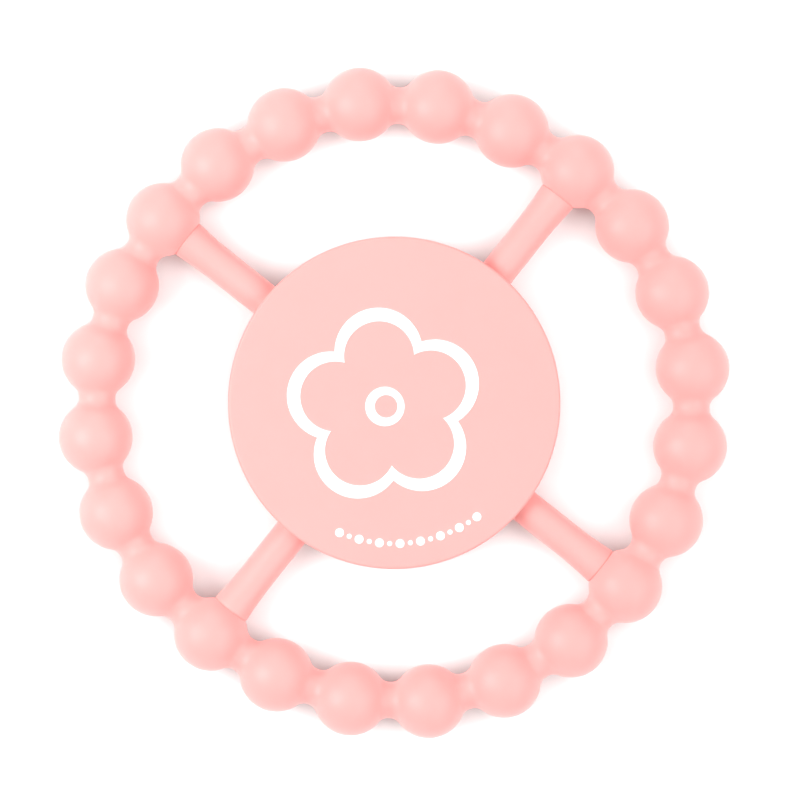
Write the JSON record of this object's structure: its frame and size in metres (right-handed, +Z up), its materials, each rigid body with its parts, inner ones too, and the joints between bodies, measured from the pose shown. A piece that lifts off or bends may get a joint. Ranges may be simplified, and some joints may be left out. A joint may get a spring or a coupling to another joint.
{
  "type": "teething ring",
  "caption": "Flat baby teether: a ring of round silicone beads joined by narrow necks, with slim spokes to a round central disc printed in white.",
  "frame": {"origin": "under the centre of the disc, on the plane that the beads rest on", "axes": "+Z up through the ring's thickness, out of the printed face; +Y towards the top of the printed flower; +X to the right when the printed face is seen upright, through bead_01; the spokes lie at 45 degrees"},
  "size_m": [0.106, 0.106, 0.0115],
  "materials": {
    "pink_silicone": "matte, soft-touch moulded silicone in pale pink, slightly translucent",
    "white_ink": "matte white pad-printed silicone ink, a slightly raised film"
  },
  "bodies": {
    "root": {"bead_01": "pink_silicone", "bead_02": "pink_silicone", "bead_03": "pink_silicone", "bead_04": "pink_silicone", "bead_05": "pink_silicone", "bead_06": "pink_silicone", "bead_07": "pink_silicone", "bead_08": "pink_silicone", "bead_09": "pink_silicone", "bead_10": "pink_silicone", "bead_11": "pink_silicone", "bead_12": "pink_silicone", "bead_13": "pink_silicone", "bead_14": "pink_silicone", "bead_15": "pink_silicone", "bead_16": "pink_silicone", "bead_17": "pink_silicone", "bead_18": "pink_silicone", "bead_19": "pink_silicone", "bead_20": "pink_silicone", "bead_21": "pink_silicone", "bead_22": "pink_silicone", "bead_23": "pink_silicone", "bead_24": "pink_silicone", "neck_01": "pink_silicone", "neck_02": "pink_silicone", "neck_03": "pink_silicone", "neck_04": "pink_silicone", "neck_05": "pink_silicone", "neck_06": "pink_silicone", "neck_07": "pink_silicone", "neck_08": "pink_silicone", "neck_09": "pink_silicone", "neck_10": "pink_silicone", "neck_11": "pink_silicone", "neck_12": "pink_silicone", "neck_13": "pink_silicone", "neck_14": "pink_silicone", "neck_15": "pink_silicone", "neck_16": "pink_silicone", "neck_17": "pink_silicone", "neck_18": "pink_silicone", "neck_19": "pink_silicone", "neck_20": "pink_silicone", "neck_21": "pink_silicone", "neck_22": "pink_silicone", "neck_23": "pink_silicone", "neck_24": "pink_silicone", "spoke_upper_right": "pink_silicone", "spoke_upper_left": "pink_silicone", "spoke_lower_left": "pink_silicone", "spoke_lower_right": "pink_silicone", "centre_disc": "pink_silicone", "print_flower_outline": "white_ink", "print_flower_eye": "white_ink", "print_dot_arc": "white_ink"}
  },
  "joints": []
}
